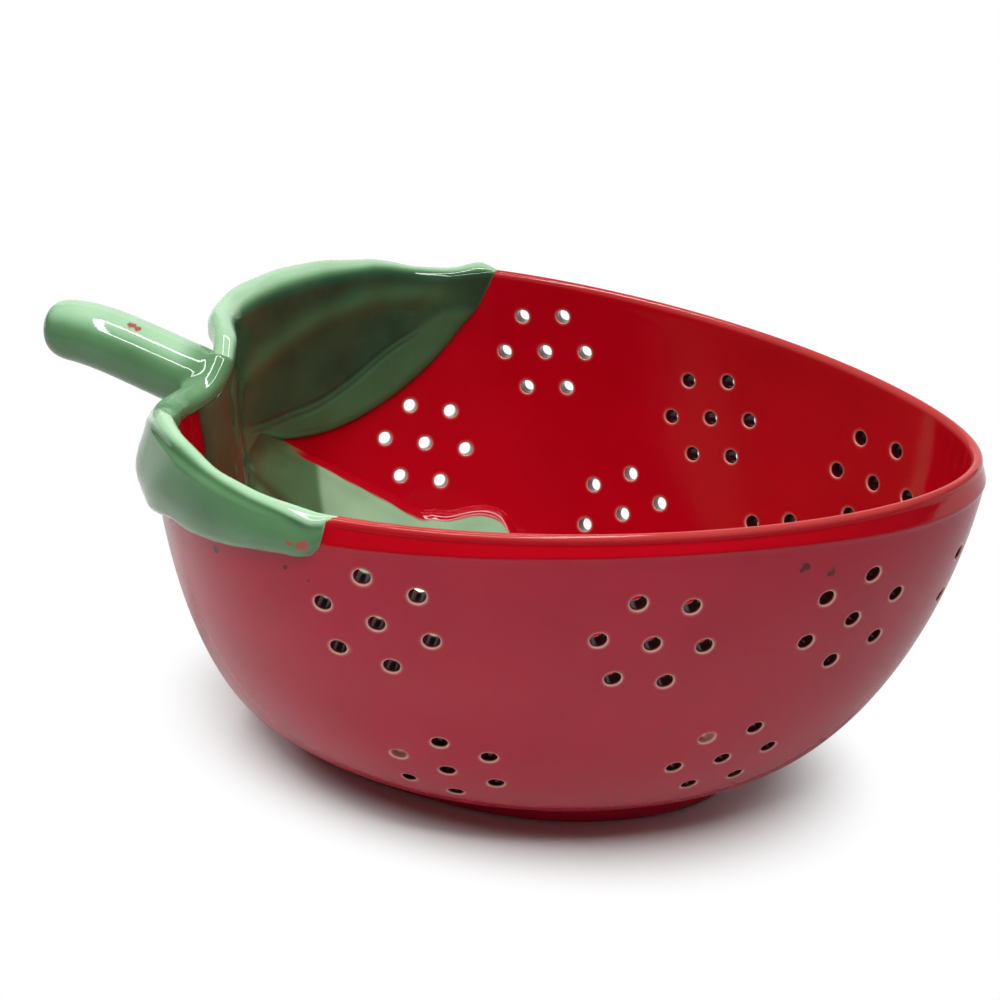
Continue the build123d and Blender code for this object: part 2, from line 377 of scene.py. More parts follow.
def make_piece(name, points, faces, material, node, marks):
    """A smooth mesh piece that stands for a node; marks are values per point for its material."""
    mesh = bpy.data.meshes.new(name)
    faces = [tuple(int(i) for i in face) for face in faces]
    mesh.from_pydata((np.asarray(points) * MM).tolist(), [], faces)
    face_outwards(mesh)
    mesh.polygons.foreach_set("use_smooth", [True] * len(mesh.polygons))
    for mark, values in marks.items():
        layer = mesh.attributes.new(mark, "FLOAT", "POINT")
        layer.data.foreach_set("value", np.asarray(values, np.float32).ravel())
    mesh.materials.append(material)
    piece = bpy.data.objects.new(name, mesh)
    bpy.context.scene.collection.objects.link(piece)
    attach(piece, "root")
    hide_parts(node)


# Materials

def tint(code):
    """An sRGB hex colour as linear RGBA."""
    parts = [int(code[i : i + 2], 16) / 255 for i in (0, 2, 4)]
    linear = [c / 12.92 if c <= 0.04045 else ((c + 0.055) / 1.055) ** 2.4 for c in parts]
    return (*linear, 1.0)


def node(tree, kind, settings=None, inputs=None):
    """Adds a node, sets its properties and fills its sockets with values or with other sockets."""
    made = tree.nodes.new(kind)
    for key, value in (settings or {}).items():
        setattr(made, key, value)
    for key, value in (inputs or {}).items():
        socket = made.inputs[key]
        if isinstance(value, bpy.types.NodeSocket):
            tree.links.new(value, socket)
        else:
            socket.default_value = value
    return made


def new_material(name):
    material = bpy.data.materials.new(name)
    material.use_nodes = True
    tree = material.node_tree
    tree.nodes.clear()
    return material, tree


# A Mix node of colours gives its colour at its third output.
OF_COLOURS = {"data_type": "RGBA"}
COLOUR_OUT = 2

# Specks: the grain that tears them, and the levels between which their edges lie.
SPECK_GRAIN = 1.6
SPECK_EDGE = (0.22, 0.34)


def specks(tree, place, spots):
    """A socket that is 1 in ragged specks round spots, given as x, y, z and radius in millimetres."""
    rag = node(
        tree, "ShaderNodeTexNoise", None, {"Vector": place, "Scale": 1 / (SPECK_GRAIN * MM), "Detail": 3.0}
    )
    total = None
    for x, y, z, radius in spots:
        middle = (x * MM, y * MM, z * MM)
        gap = node(tree, "ShaderNodeVectorMath", {"operation": "DISTANCE"}, {0: place, 1: middle})
        near = node(
            tree, "ShaderNodeMapRange", None,
            {"Value": gap.outputs["Value"], "From Max": 2 * radius * MM, "To Min": 1.0, "To Max": 0.0},
        )
        torn = node(
            tree, "ShaderNodeMath", {"operation": "MULTIPLY"}, {0: near.outputs[0], 1: rag.outputs["Fac"]}
        )
        edge = node(
            tree, "ShaderNodeMapRange", {"interpolation_type": "SMOOTHSTEP"},
            {"Value": torn.outputs[0], "From Min": SPECK_EDGE[0], "From Max": SPECK_EDGE[1]},
        ).outputs[0]
        if total is None:
            total = edge
        else:
            total = node(tree, "ShaderNodeMath", {"operation": "MAXIMUM"}, {0: total, 1: edge}).outputs[0]
    return total


# Fired glaze is a glass: its IOR, how much the red one mirrors, and how rough wet, satin and green glaze are.
GLAZE_IOR = 1.47
RED_MIRROR = 0.36
WET_ROUGHNESS = 0.07
SATIN_ROUGHNESS = 0.2
GREEN_ROUGHNESS = 0.06

# Sizes in millimetres of the clouds in the glazes and of the grain that ripples them.
RED_CLOUD = 24.0
RED_GRAIN = 2.5
GREEN_CLOUD = 14.0
GREEN_GRAIN = 5.0

# How strong and how deep the ripples are, and how far a cloud shifts the green.
RED_RIPPLE, RED_RIPPLE_DEPTH = 0.06, 0.3
GREEN_RIPPLE, GREEN_RIPPLE_DEPTH = 0.08, 0.4
GREEN_SHIFT = 0.12

# Iron specks in the outer glaze: places and radii.
IRON_SPECKS = [
    (90.0, -54.6, 106.8, 1.5), (96.6, -50.0, 104.3, 1.3), (-51.0, -78.2, 98.9, 1.2),
    (-68.7, -63.0, 96.0, 0.9), (-29.9, -87.2, 103.0, 0.7), (-24.0, -88.0, 101.0, 0.5),
]


def red_glaze():
    """Crimson glaze dipped over earthenware: wet gloss within and on the lip band, satin on the outer wall,
    pale where it draws back from the holes and where a sheen is painted on the lip's crest, and dark with
    painted shade in the bores."""
    material, tree = new_material("crimson_glaze_on_earthenware")
    place = node(tree, "ShaderNodeTexCoord").outputs["Object"]
    thin, dark, satin = [
        node(tree, "ShaderNodeAttribute", {"attribute_name": mark}).outputs["Fac"]
        for mark in ("thin", "dark", "satin")
    ]
    cloud, grain = [
        node(
            tree, "ShaderNodeTexNoise", None, {"Vector": place, "Scale": 1 / (size * MM), "Detail": detail}
        ).outputs["Fac"]
        for size, detail in ((RED_CLOUD, 5.0), (RED_GRAIN, 3.0))
    ]
    iron = specks(tree, place, IRON_SPECKS)
    within, without = [
        node(
            tree, "ShaderNodeMix", OF_COLOURS, {"Factor": cloud, "A": tint(deep), "B": tint(light)}
        ).outputs[COLOUR_OUT]
        for deep, light in (("A60212", "BE041A"), ("A6062A", "BC0C32"))
    ]
    both = node(tree, "ShaderNodeMix", OF_COLOURS, {"Factor": satin, "A": within, "B": without})
    colour = both.outputs[COLOUR_OUT]
    # Pale: thin glaze, and the painted sheen on the lip. Dark: painted shade in the bores. Then the iron
    # specks.
    for share, code in ((thin, "F0C4B4"), (dark, "3A0408"), (iron, "5A0714")):
        mixed = node(tree, "ShaderNodeMix", OF_COLOURS, {"Factor": share, "A": colour, "B": tint(code)})
        colour = mixed.outputs[COLOUR_OUT]
    gloss = node(
        tree, "ShaderNodeMapRange", None, {"Value": satin, "To Min": WET_ROUGHNESS, "To Max": SATIN_ROUGHNESS}
    )
    ripple = node(
        tree, "ShaderNodeBump", None,
        {"Strength": RED_RIPPLE, "Distance": RED_RIPPLE_DEPTH * MM, "Height": grain},
    )
    shader = node(
        tree, "ShaderNodeBsdfPrincipled", None,
        {
            "Base Color": colour, "Roughness": gloss.outputs[0], "IOR": GLAZE_IOR,
            "Specular IOR Level": RED_MIRROR, "Normal": ripple.outputs["Normal"],
        },
    )
    node(tree, "ShaderNodeOutputMaterial", None, {"Surface": shader.outputs["BSDF"]})
    return material


def green_glaze(name, smears):
    """Green glaze brushed over the red: pale where it runs thin over a crest and where light is painted on,
    olive where the red darkens it, brown where shade with the red mirrored in it is painted on, glassy all
    over, with smears of red where the brush went astray."""
    material, tree = new_material(name)
    place = node(tree, "ShaderNodeTexCoord").outputs["Object"]
    thin, painted_brown_shade, red = [
        node(tree, "ShaderNodeAttribute", {"attribute_name": mark}).outputs["Fac"]
        for mark in ("thin", "painted_brown_shade", "red")
    ]
    cloud, grain = [
        node(
            tree, "ShaderNodeTexNoise", None, {"Vector": place, "Scale": 1 / (size * MM), "Detail": detail}
        ).outputs["Fac"]
        for size, detail in ((GREEN_CLOUD, 5.0), (GREEN_GRAIN, 2.0))
    ]
    astray = specks(tree, place, smears)
    shift = node(
        tree, "ShaderNodeMapRange", None, {"Value": cloud, "To Min": -GREEN_SHIFT, "To Max": GREEN_SHIFT}
    )
    level = node(tree, "ShaderNodeMath", {"operation": "ADD"}, {0: thin, 1: shift.outputs[0]})
    ramp = node(tree, "ShaderNodeValToRGB", None, {"Fac": level.outputs[0]})
    stops = ramp.color_ramp.elements
    stops[0].color = tint("22402F")
    stops[1].color = tint("A9CEA9")
    for spot, code in ((0.25, "446644"), (0.5, "5E885F"), (0.75, "86B189")):
        stops.new(spot).color = tint(code)
    colour = ramp.outputs["Color"]
    # Brown is painted shade with the red mirrored in it; then the red rim and the red smears.
    for share, code in ((painted_brown_shade, "5A2A20"), (red, "B2041A"), (astray, "A5564E")):
        mixed = node(tree, "ShaderNodeMix", OF_COLOURS, {"Factor": share, "A": colour, "B": tint(code)})
        colour = mixed.outputs[COLOUR_OUT]
    ripple = node(
        tree, "ShaderNodeBump", None,
        {"Strength": GREEN_RIPPLE, "Distance": GREEN_RIPPLE_DEPTH * MM, "Height": grain},
    )
    shader = node(
        tree, "ShaderNodeBsdfPrincipled", None,
        {
            "Base Color": colour, "Roughness": GREEN_ROUGHNESS, "IOR": GLAZE_IOR,
            "Normal": ripple.outputs["Normal"],
        },
    )
    node(tree, "ShaderNodeOutputMaterial", None, {"Surface": shader.outputs["BSDF"]})
    return material


CRIMSON = red_glaze()
LEAF_GREEN = green_glaze("leaf_green_glaze", [(-24.5, -91.0, 111.6, 1.7), (-28.0, -91.0, 112.2, 1.2)])
STEM_GREEN = green_glaze("stem_green_glaze", [(-105.0, -2.4, 120.2, 1.5), (-103.2, -2.8, 119.6, 1.0)])


# Bowl wall, with its drain holes worked into the grid of its skin

# Columns of the grid go along the rim and rows along the path, close together on the lip and its band.
COLUMNS = 400
WALL_ROWS = 78
MIDDLE_GAP = 0.08
BAND_FOOT = 3.045
row_paths = np.concatenate(
    [
        np.linspace(MIDDLE_GAP, 1, 12, endpoint=False),
        np.linspace(1, 2, WALL_ROWS, endpoint=False),
        np.linspace(2, 3, 16, endpoint=False),
        np.linspace(3, BAND_FOOT, 12, endpoint=False),
        np.linspace(BAND_FOOT, 4, WALL_ROWS - 2, endpoint=False),
        np.linspace(4, 5 - MIDDLE_GAP, 6),
    ]
)

# Rounds in which the line of a bore is followed to the skin.
BORE_ROUNDS = 12

# Round each hole the grid is open as far as this, and drawn over from a few cells off.
CLEAR_OF_HOLE = 3.7
LEAST_CELLS = 2
PULL_CELLS = 2
PULL_RUN = 1.6


def cluster_axes(station, height, turn):
    """Middle of a cluster on the outer wall, its two level directions and the way its bores point."""
    path = outer_path_at(height)
    by_station, by_path = skin_slopes(np.array(station), np.array(path))
    out = np.cross(by_path, by_station)
    out /= np.linalg.norm(out)
    along = by_station - out * (by_station @ out)
    along /= np.linalg.norm(along)
    up = np.cross(out, along)
    c, s = math.cos(math.radians(turn)), math.sin(math.radians(turn))
    return skin(station, path), along * c + up * s, up * c - along * s, out


def where_bore_meets(spot, x_dir, y_dir, station, path):
    """Station and path at which the line of a bore passes through the skin."""
    for _ in range(BORE_ROUNDS):
        miss = skin(station, path) - spot
        by_station, by_path = skin_slopes(np.array(station), np.array(path))
        jac = np.array([[by_station @ x_dir, by_path @ x_dir], [by_station @ y_dir, by_path @ y_dir]])
        move = np.linalg.solve(jac, [miss @ x_dir, miss @ y_dir])
        station, path = station - move[0], path - move[1]
    return float(station), float(path), jac


bores = []
for station, height, turn, slant in CLUSTERS:
    middle, x_dir, y_dir, out = cluster_axes(station, height, turn)
    spots = [middle]
    for k in range(HOLES_ROUND_ONE):
        angle = 2 * math.pi * k / HOLES_ROUND_ONE
        spots.append(middle + HOLE_PITCH * (x_dir * math.cos(angle) + y_dir * math.sin(angle)))
    along = x_dir * math.cos(math.radians(turn)) - y_dir * math.sin(math.radians(turn))
    for spot in spots:
        outside = where_bore_meets(spot + slant * along, x_dir, y_dir, station, outer_path_at(height))
        inside = where_bore_meets(spot, x_dir, y_dir, outside[0], 5 - outside[1])
        bores.append((spot, x_dir, y_dir, out, outside, inside))

rows = len(row_paths)
col_place = np.tile(np.arange(COLUMNS, dtype=float), (rows, 1))
row_place = np.tile(np.arange(rows, dtype=float)[:, None], (1, COLUMNS))
open_cells = np.zeros((rows - 1, COLUMNS), bool)
blocks = []
for *_, outside, inside in bores:
    sides = []
    half_cols = half_rows = None
    for station, path, _ in (outside, inside):
        col = (length_at(station) + HALF_RIM) / (2 * HALF_RIM) * COLUMNS
        row = np.interp(path, row_paths, np.arange(rows))
        j, i = int(round(col)), int(round(row))
        if half_cols is None:
            by_station, by_path = skin_slopes(np.array(station), np.array(path))
            length = length_at(station)
            col_step = station_at(length + 0.5) - station_at(length - 0.5)
            col_size = np.linalg.norm(by_station) * col_step * 2 * HALF_RIM / COLUMNS
            row_size = np.linalg.norm(by_path) * (row_paths[i + 1] - row_paths[i])
            half_cols = max(LEAST_CELLS, math.ceil(CLEAR_OF_HOLE / col_size))
            half_rows = max(LEAST_CELLS, math.ceil(CLEAR_OF_HOLE / row_size))
        for di in range(-half_rows - PULL_CELLS, half_rows + PULL_CELLS + 1):
            for dj in range(-half_cols - PULL_CELLS, half_cols + PULL_CELLS + 1):
                beyond = max(abs(di) - half_rows, abs(dj) - half_cols, 0)
                pull = max(0.0, 1 - beyond / PULL_RUN)
                row_place[i + di, (j + dj) % COLUMNS] += pull * (row - i)
                col_place[i + di, (j + dj) % COLUMNS] += pull * (col - j)
        for di in range(-half_rows, half_rows):
            for dj in range(-half_cols, half_cols):
                open_cells[i + di, (j + dj) % COLUMNS] = True
        sides.append((i, j))
    blocks.append((half_rows, half_cols, sides))


def satin_at(station, path):
    """The outer wall below the lip band has a satin skin."""
    depth = through(BAND_DEPTH, np.abs(length_at(station)))
    return ease((below_lip(path) - depth) / BAND_STEP)


# A painted sheen pales the crest of the lip a little, between two paths, and less by the leaves than round
# the tip.
LIP_SHEEN = 0.09
LIP_SHEEN_PATHS = (1.97, 2.95)
LIP_SHEEN_RUN = 0.25
LIP_SHEEN_BY_LEAVES = 0.45
LIP_SHEEN_FADE = 100.0


def lip_sheen_at(station, path):
    """How much painted sheen pales the crest of the lip."""
    first, last = LIP_SHEEN_PATHS
    over_crest = fades_in(path, first, LIP_SHEEN_RUN) * fades_out(path, last, LIP_SHEEN_RUN)
    by_tip = fades_out(np.abs(length_at(station)), BAND_END, LIP_SHEEN_FADE)
    return LIP_SHEEN * over_crest * (LIP_SHEEN_BY_LEAVES + (1 - LIP_SHEEN_BY_LEAVES) * by_tip)


station_grid = station_at(col_place / COLUMNS * 2 * HALF_RIM - HALF_RIM)
path_grid = np.interp(row_place, np.arange(rows), row_paths)
shell_points = [skin(station_grid, path_grid).reshape(-1, 3)]
# The wall's pale mark holds this painted sheen on the lip, and the thin glaze round the holes added below.
shell_thin_and_sheen = [lip_sheen_at(station_grid, path_grid).ravel()]
# The dark mark paints shade into the bores.
shell_bore_shade = [np.zeros(rows * COLUMNS)]
shell_satin = [satin_at(station_grid, path_grid).ravel()]
shell_count = rows * COLUMNS
grid_index = np.arange(shell_count).reshape(rows, COLUMNS)
cells = grid_faces(rows, COLUMNS, wrap=True)
shell_faces = cells[~open_cells.ravel()].tolist()

# Each hole: rings on the skin, a soft lip where the glaze draws back, then the bore.
HOLE_RINGS = [
    # radius, depth, thin glaze, painted shade in the bore
    (3.30, 0.00, 0.0, 0.0),
    (2.90, 0.00, 0.06, 0.0),
    (2.62, 0.00, 0.2, 0.0),
    (2.42, 0.04, 0.6, 0.0),
    (2.29, 0.13, 0.85, 0.0),
    (2.18, 0.28, 0.7, 0.25),
    (2.11, 0.50, 0.2, 0.85),
    (2.10, 0.95, 0.0, 1.0),
]

# Two holes are half filled with pale glaze, and the rings inside the bowl are less pale than those outside.
CLOGGED = np.array([(-4.1, -74.2, 44.5), (72.2, -55.6, 54.7)])
CLOGGED_REACH = 6.0
CLOGGED_PALE = 0.75
# The painted shade in these two bores is weaker.
CLOGGED_BORE_SHADE = 0.15
PALE_INSIDE = 0.6

for (spot, x_dir, y_dir, out, outside, inside), (half_rows, half_cols, sides) in zip(bores, blocks):
    clogged = np.min(np.linalg.norm(CLOGGED - spot, axis=1)) < CLOGGED_REACH
    throats = []
    for (station, path, jac), (i, j), way in zip((outside, inside), sides, (-1, 1)):
        steps = [(-half_rows, dj) for dj in range(-half_cols, half_cols)]
        steps += [(di, half_cols) for di in range(-half_rows, half_rows)]
        steps += [(half_rows, dj) for dj in range(half_cols, -half_cols, -1)]
        steps += [(di, -half_cols) for di in range(half_rows, -half_rows, -1)]
        edge = np.array([grid_index[i + di, (j + dj) % COLUMNS] for di, dj in steps])
        reach = shell_points[0][edge] - skin(station, path)
        angle = np.arctan2(reach @ y_dir, reach @ x_dir)
        order = np.argsort(angle)
        loop, angle = edge[order], angle[order]
        even = 0.5 * (angle + throats[0][1]) if throats else angle
        inverse = np.linalg.inv(jac)
        for radius, depth, bare, dark in HOLE_RINGS:
            if clogged:
                bare, dark = max(bare, CLOGGED_PALE * dark), CLOGGED_BORE_SHADE * dark
            move = inverse @ np.stack([radius * np.cos(even), radius * np.sin(even)])
            ring = skin(station + move[0], path + move[1]) + way * depth * out
            index = np.arange(shell_count, shell_count + len(ring))
            shell_points.append(ring)
            shell_thin_and_sheen.append(np.full(len(ring), bare if way == -1 else PALE_INSIDE * bare))
            shell_bore_shade.append(np.full(len(ring), dark))
            shell_satin.append(satin_at(station + move[0], path + move[1]))
            shell_count += len(ring)
            shell_faces += np.stack([loop, np.roll(loop, -1), np.roll(index, -1), index], 1).tolist()
            loop = index
        throats.append((loop, even))
    a, b = throats[0][0], throats[1][0]
    shell_faces += np.stack([a, np.roll(a, -1), np.roll(b, -1), b], 1).tolist()

# The middles of the floor and of the underside close the skin.
for row, height in ((0, FLOOR_HEIGHT), (rows - 1, FOOT_HEIGHT)):
    shell_points.append(np.array([[FLOOR_MIDDLE[0], FLOOR_MIDDLE[1], height]]))
    shell_thin_and_sheen.append(np.zeros(1))
    shell_bore_shade.append(np.zeros(1))
    shell_satin.append(np.full(1, 1.0 if row else 0.0))
    ring = grid_index[row]
    for k in range(COLUMNS):
        shell_faces.append((ring[k], ring[(k + 1) % COLUMNS], shell_count))
    shell_count += 1

shell_points = np.concatenate(shell_points)
shell_marks = {"thin": shell_thin_and_sheen, "dark": shell_bore_shade, "satin": shell_satin}
used = np.zeros(shell_count, bool)
for face in shell_faces:
    used[list(face)] = True
renumber = np.cumsum(used) - 1
shell_faces = [[renumber[i] for i in face] for face in shell_faces]
make_piece(
    "bowl_wall", shell_points[used], shell_faces, CRIMSON, "bowl_shell",
    {mark: np.concatenate(values)[used] for mark, values in shell_marks.items()},
)


# Foot ring: its section runs down the outside, over the rounded tread and up the inside.
FOOT_SECTION = [
    (0.5, 9.8), (0.25, 9.0), (0.1, 8.0), (0.0, 6.5), (0.0, 3.6), (-0.05, 2.0), (-0.35, 0.9), (-1.0, 0.2),
    (-1.8, 0.0), (-4.4, 0.0), (-5.2, 0.25), (-5.8, 1.0), (-6.0, 2.2), (-6.0, 6.0), (-6.0, 9.2), (-3.0, 9.5),
]
FOOT_COLUMNS = 260
foot_stations = station_at(np.arange(FOOT_COLUMNS) / FOOT_COLUMNS * 2 * HALF_RIM - HALF_RIM)
foot_rows = []
for grow, height in FOOT_SECTION:
    flat = along_outline(FOOT_LINE, foot_stations) + grow * along_outline(FOOT_OUT, foot_stations)
    foot_rows.append(np.column_stack([flat, np.full(FOOT_COLUMNS, height)]))
foot_points = np.concatenate(foot_rows)
section_count = len(FOOT_SECTION)
foot_faces = grid_faces(section_count + 1, FOOT_COLUMNS, wrap=True) % (section_count * FOOT_COLUMNS)
make_piece(
    "foot_ring_glazed", foot_points, foot_faces, CRIMSON, "foot_ring",
    {
        mark: np.full(len(foot_points), value)
        for mark, value in (("thin", 0.0), ("dark", 0.0), ("satin", 1.0))
    },
)


# Leaves on the wall: sheets over the skin, thick in the middle and rolled off at every edge

def bump(x, middle, width):
    """A soft bump: 1 at its middle, fading over its width."""
    return np.exp(-(((x - middle) / width) ** 2))


def ridge(length, drop, line, width):
    """A soft ridge along a line of (length, drop) points: 1 on the line, fading over its width."""
    nearest = np.full(np.shape(length), np.inf)
    for (l0, d0), (l1, d1) in zip(line[:-1], line[1:]):
        run = np.array([l1 - l0, d1 - d0])
        f = ((length - l0) * run[0] + (drop - d0) * run[1]) / (run @ run)
        f = np.clip(f, 0, 1)
        gap = np.hypot(length - l0 - f * run[0], drop - d0 - f * run[1])
        nearest = np.minimum(nearest, gap)
    return bump(nearest, 0, width)


def rolled(distance, radius):
    """The height of a rounded edge, 0 at the edge and 1 a radius in from it."""
    f = np.clip(distance / radius, 0, 1)
    return np.sqrt(1 - (1 - f) ** 2)


# A leaf's underside sits this deep in the wall, and its edges are rolled off within this distance.
SEAT = 0.4
LEAF_ROLL = 3.2

# Fingers leave slight waves in soft clay, long and short ones: heights, and lengths along and across.
LONG_WAVE, LONG_ALONG, LONG_ACROSS, LONG_SKEW, LONG_START = 0.14, 5.3, 6.1, 17.0, 0.7
SHORT_WAVE, SHORT_ALONG, SHORT_ACROSS = 0.1, 2.9, 4.3


def uneven(a, b):
    """The height of the waves that fingers left."""
    long_waves = LONG_WAVE * np.sin(a / LONG_ALONG + LONG_START) * np.sin(b / LONG_ACROSS - a / LONG_SKEW)
    return long_waves + SHORT_WAVE * np.sin(a / SHORT_ALONG - b / SHORT_ACROSS)


def wall_leaf(name, lengths, low, high, lift, node, row_count=150):
    """A leaf on the wall between two edges given as drops at each length along the rim."""
    share = (0.5 - 0.5 * np.cos(np.linspace(0, np.pi, row_count)))[:, None]
    length = np.broadcast_to(lengths, (row_count, len(lengths)))
    drop = low + (high - low) * share
    lean_low = np.hypot(1, np.gradient(low, lengths))
    lean_high = np.hypot(1, np.gradient(high, lengths))
    from_edge = np.minimum((low - drop) / lean_low, (drop - high) / lean_high)
    from_edge = np.minimum(from_edge, np.abs(length - lengths[0]))
    from_edge = np.minimum(from_edge, np.abs(length - lengths[-1]))
    height, thin = lift(length, drop, from_edge)
    height = height + uneven(length, drop)
    station = station_at(np.where(length > HALF_RIM, length - 2 * HALF_RIM, length))
    path = path_at(drop)
    base = skin(station, path)
    normal = skin_normal(station, path)
    top = base + normal * (height * rolled(from_edge, LEAF_ROLL))[..., None]
    under = base - normal * SEAT
    points, faces = closed_sheet(top, under)
    marks = {"thin": np.tile(np.clip(thin, 0, 1).ravel(), 2)}
    make_piece(name, points, faces, LEAF_GREEN, node, marks)


# Leaf behind: its edges as drops, the heights of its crest and field, and the drops of its rib, score and
# pale band, each at lengths along the rim.
BACK_LOW = [
    (184, 0.6), (189, 12.5), (196, 21.5), (203, 30), (210.5, 37.1), (218, 42.7), (226, 47), (234, 50),
    (242, 51.6), (250, 52.2), (259, 51.2), (266, 49.6), (272, 47), (277.3, 44.4), (283, 46), (290, 47),
    (297, 44.5), (304, 39.5), (309, 34), (311, 29), (312.3, 18), (313, 6),
]
BACK_HIGH = [
    (184, 0.0), (187, -2.0), (192, -4.5), (200, -7.0), (212, -8.5), (296, -8.5), (307, -7.0), (313, -5.0),
]
BACK_CREST = [
    (184, 0.4), (187, 1.2), (190, 2.0), (194, 1.7), (199, 1.1), (205, 1.1), (211, 1.3), (216, 1.6),
    (223, 2.2), (229, 2.9), (235, 3.6), (241, 4.3), (250, 4.8), (262, 5.0), (275, 4.7), (285, 3.9),
    (292, 3.0), (299, 2.0), (306, 1.2), (313, 0.5),
]
BACK_FIELD = [
    (184, 0.4), (190, 1.0), (200, 1.3), (212, 1.7), (230, 1.9), (272, 1.8), (282, 1.2), (290, 0.8),
    (313, 0.8),
]
BACK_MIDRIB = [(298, 24), (270, 19), (250, 14.5), (229, 11), (205, 8)]
BACK_SCORE = [
    (202, 14), (210, 20), (223, 28), (235, 35.5), (247, 40), (266, 41), (276, 40.5), (287, 38), (313, 30),
]
BACK_BAND = [(184, 0.5), (270, 0.5), (285, 0.6), (296, 1.2), (313, 1.6)]

# Where its features start or end, by drop or by length, and the run over which they do so.
BACK_LAP = (-1.2, 3.6)
BACK_BAND_RUN = 2.2
BACK_RIB_FROM = (196, 20)
BACK_SCORE_FROM = (206, 14)
BACK_SCORE_TO = (290, 10)
BACK_STEM_END = (262, 30)

# Heights and widths in millimetres. The score is a pair of lines, and the leaf steps up past it.
BACK_RIB_WIDTH = 4.2
BACK_RIB_HEIGHT = 0.9
BACK_SCORE_GAP = 2.3
BACK_SCORE_WIDTH = 0.7
BACK_SCORE_DEPTH = 0.3
BACK_PAST_HEIGHT = 0.2
BACK_PAST_RISE = (-2, 5)

# How thin the glaze is on each feature, and how fast a thin edge fades, per millimetre.
BACK_THIN = {
    "field": 0.05, "rib": 0.16, "past": 0.15, "stem_end": 0.08, "score": 0.08, "band": 0.96, "edge": 0.34,
}
BACK_PAST_PALE = (-1.5, 4)
BACK_EDGE_FADE = 0.4


def back_lift(length, drop, from_edge):
    """The leaf behind: a pale band over the lip, a dark field with a soft rib and a pair of scored lines."""
    over = 1 - fades_in(drop, *BACK_LAP)
    band = 1 - fades_in(drop, through(BACK_BAND, length), BACK_BAND_RUN)
    rib = ridge(length, drop, BACK_MIDRIB, BACK_RIB_WIDTH)
    past = drop - through(BACK_SCORE, length)
    score = bump(past, 0, BACK_SCORE_WIDTH) + bump(past, BACK_SCORE_GAP, BACK_SCORE_WIDTH)
    score = score * fades_in(length, *BACK_SCORE_FROM) * fades_out(length, *BACK_SCORE_TO)
    height = through(BACK_FIELD, length) * (1 - over) + through(BACK_CREST, length) * over
    height = height + BACK_RIB_HEIGHT * rib * (1 - over) * fades_in(length, *BACK_RIB_FROM)
    height = height - BACK_SCORE_DEPTH * score + BACK_PAST_HEIGHT * fades_in(past, *BACK_PAST_RISE)
    thin = BACK_THIN["field"] + BACK_THIN["rib"] * rib + BACK_THIN["past"] * fades_in(past, *BACK_PAST_PALE)
    thin = thin + BACK_THIN["stem_end"] * fades_in(length, *BACK_STEM_END) - BACK_THIN["score"] * score
    thin = thin * (1 - band) + BACK_THIN["band"] * band
    return height, np.maximum(thin, BACK_THIN["edge"] - BACK_EDGE_FADE * from_edge)


BACK_ENDS, BACK_COLUMNS = (184.3, 312.9), 240
back_lengths = np.linspace(*BACK_ENDS, BACK_COLUMNS)
wall_leaf(
    "leaf_behind", back_lengths, through(BACK_LOW, back_lengths), through(BACK_HIGH, back_lengths),
    back_lift, "back_leaf",
)

# Leaf in front: the drops of its edges and score, and the heights of its crest and flap, at lengths along
# the rim.
FRONT_IN = [
    (-276, 6), (-240, 6.5), (-215, 6.0), (-202, 4.6), (-195, 3.0), (-190, 1.6), (-186, 0.5), (-183.6, 0.1),
]
FRONT_HEM = [
    (-276, -23), (-268, -25.5), (-262, -26), (-256, -26), (-249.6, -25.7), (-242, -23), (-235.6, -20.9),
    (-227.5, -19.9), (-220.3, -18.4), (-211.2, -16.3), (-202.7, -14.0), (-195.9, -12.8), (-191.5, -12.2),
    (-188.4, -10.2), (-186.7, -6.6), (-186.2, -3.2), (-185.2, -1.3), (-183.6, -0.4),
]
FRONT_SCORE = [
    (-276, -3.4), (-254, -2.9), (-243, -1.8), (-229, -1.3), (-222, -1.4), (-208, -1.9), (-197, -2.6),
    (-190, -3.8),
]
FRONT_CREST = [
    (-276, 0.5), (-262, 1.8), (-250, 2.3), (-238, 2.5), (-229, 1.9), (-220, 1.35), (-209, 1.0), (-197, 0.7),
    (-190, 0.45), (-183.6, 0.15),
]
FRONT_FLAP = [
    (-276, 0.4), (-270, 2.4), (-265, 4.3), (-260, 4.7), (-250, 4.3), (-235, 3.4), (-215, 2.7), (-198, 2.4),
    (-190, 2.2), (-187, 1.3), (-183.6, 0.3),
]
FLAP_SHAPE = [(0, 0.22), (0.15, 0.42), (0.35, 0.74), (0.6, 1.0), (0.88, 0.88), (1, 0.75)]

# Where its features start or end, and the run over which they do so; middles and widths of its bumps.
FRONT_SCORE_FROM = (-262, 12)
FRONT_SCORE_TO = (-188, 6)
FRONT_BAND_RUN = 1.3
FRONT_TIP_FROM = (-196, 8)
FRONT_CREST_BUMP = (0.4, 2.4)
FRONT_SHADE_DOWN = (0.45, 0.25)
FRONT_SHADE_LENGTH = (-226, 18)

# The least drop of the flap, the score's size, and how sharply the flap and the crest meet.
LEAST_FLAP = 0.5
FRONT_SCORE_WIDTH = 0.8
FRONT_SCORE_DEPTH = 0.25
MEETING = 4

# How thin the glaze is on each feature, and how fast a thin edge fades, per millimetre.
FRONT_THIN = {"field": 0.52, "band": 0.43, "score": 0.22, "shade": 0.14, "tip": 0.12, "edge": 0.74}
FRONT_EDGE_FADE = 0.5


